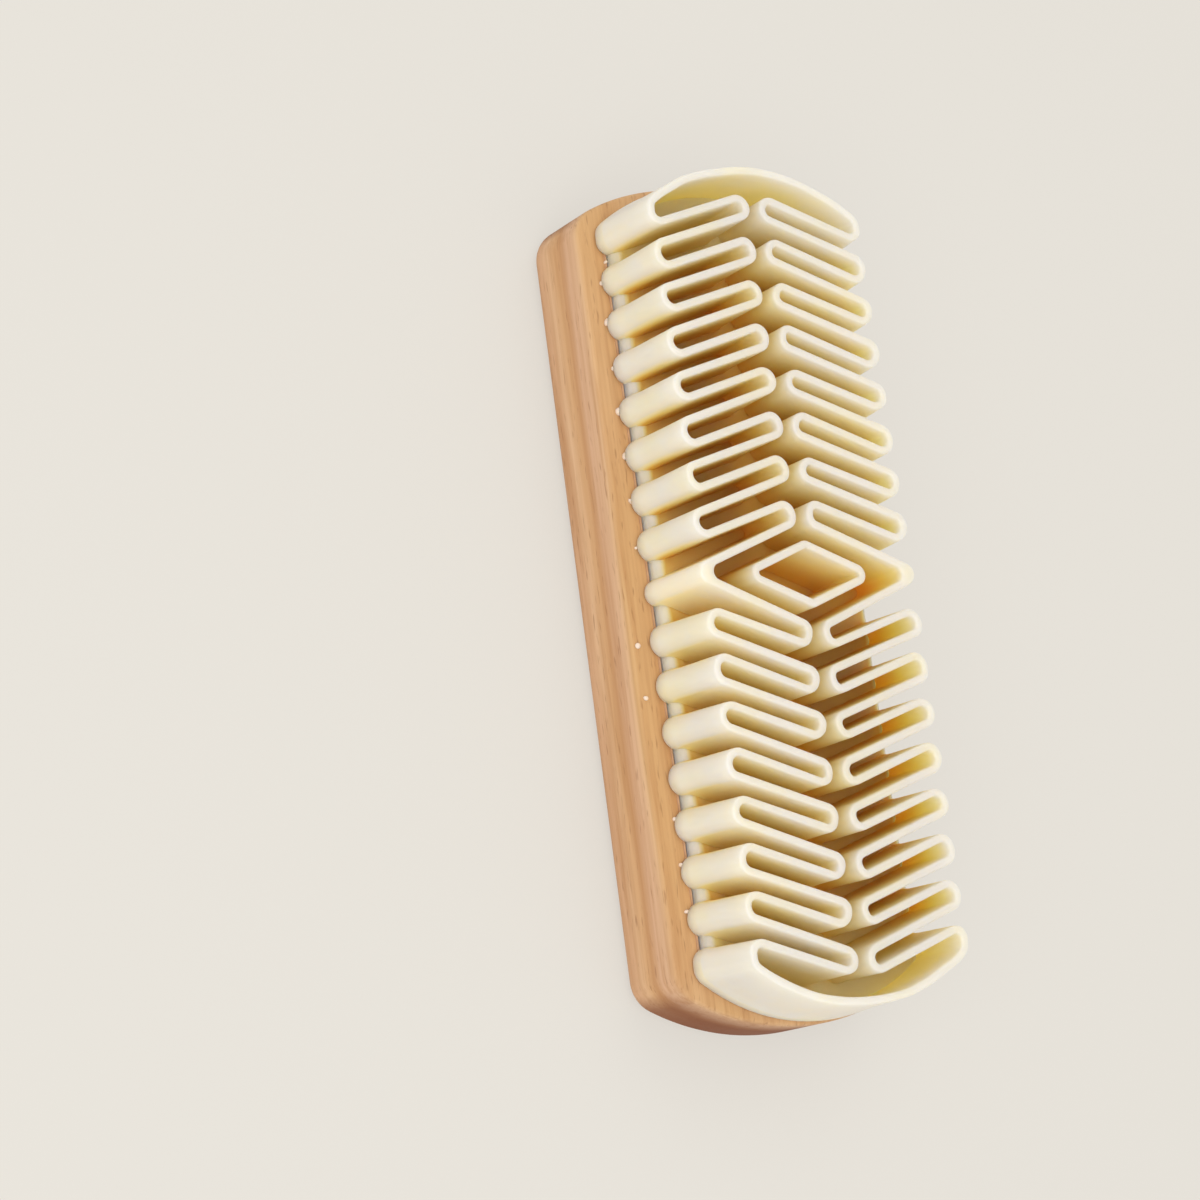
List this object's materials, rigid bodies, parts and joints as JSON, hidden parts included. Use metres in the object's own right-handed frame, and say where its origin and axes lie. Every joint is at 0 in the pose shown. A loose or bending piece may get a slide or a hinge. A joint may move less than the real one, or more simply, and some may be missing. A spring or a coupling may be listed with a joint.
{
  "type": "suede brush",
  "caption": "Hand-held suede brush: a flat beech block with bowed ends, and a moulded crepe rubber pad of thin herringbone walls round a centre diamond.",
  "frame": {"origin": "centre of the wooden back that the brush lies on, midway along and across it", "axes": "+Z from the wooden back towards the rims of the rubber pad, +Y along the brush, +X across it"},
  "size_m": [0.0512, 0.1484, 0.0322],
  "materials": {
    "beech": "fine sanded beech, lightly waxed",
    "contact_adhesive": "dried contact adhesive",
    "crepe_rubber": "natural crepe rubber, cream, amber in its depth"
  },
  "bodies": {
    "root": {"handle_block": "beech", "adhesive_film": "contact_adhesive", "rubber_pad": "crepe_rubber"}
  },
  "joints": []
}
